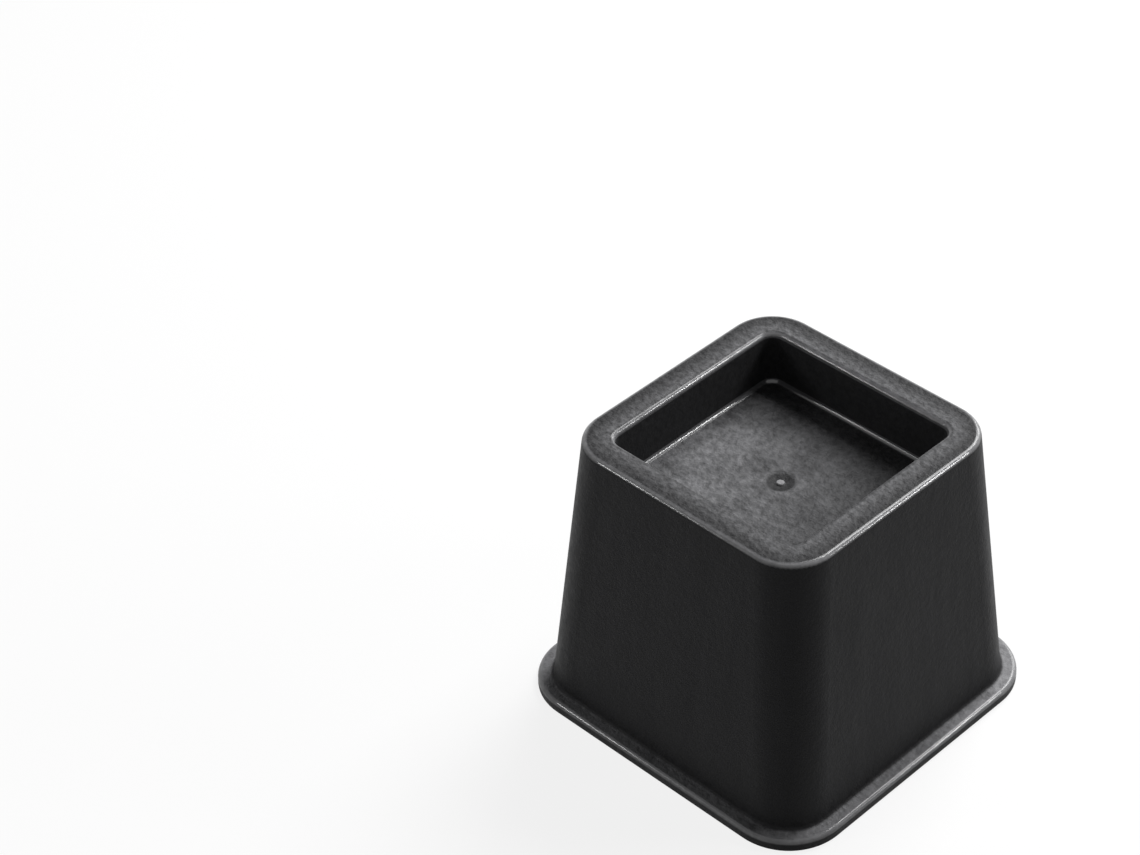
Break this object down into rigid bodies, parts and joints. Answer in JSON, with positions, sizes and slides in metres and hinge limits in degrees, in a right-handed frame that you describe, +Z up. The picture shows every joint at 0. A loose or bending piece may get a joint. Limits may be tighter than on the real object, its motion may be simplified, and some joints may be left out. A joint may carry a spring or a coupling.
{
  "type": "bed riser",
  "caption": "Square tapered hollow plastic riser with a flanged foot and a pocket in its top that a bed or furniture leg stands in.",
  "frame": {"origin": "centre of the foot's lower face, on the surface that the riser stands on", "axes": "+Z up, from the foot to the rim; X and Y square to the four walls"},
  "size_m": [0.15, 0.15, 0.125],
  "materials": {
    "black_polypropylene": "satin, finely textured"
  },
  "bodies": {
    "root": {"riser": "black_polypropylene"}
  },
  "joints": []
}
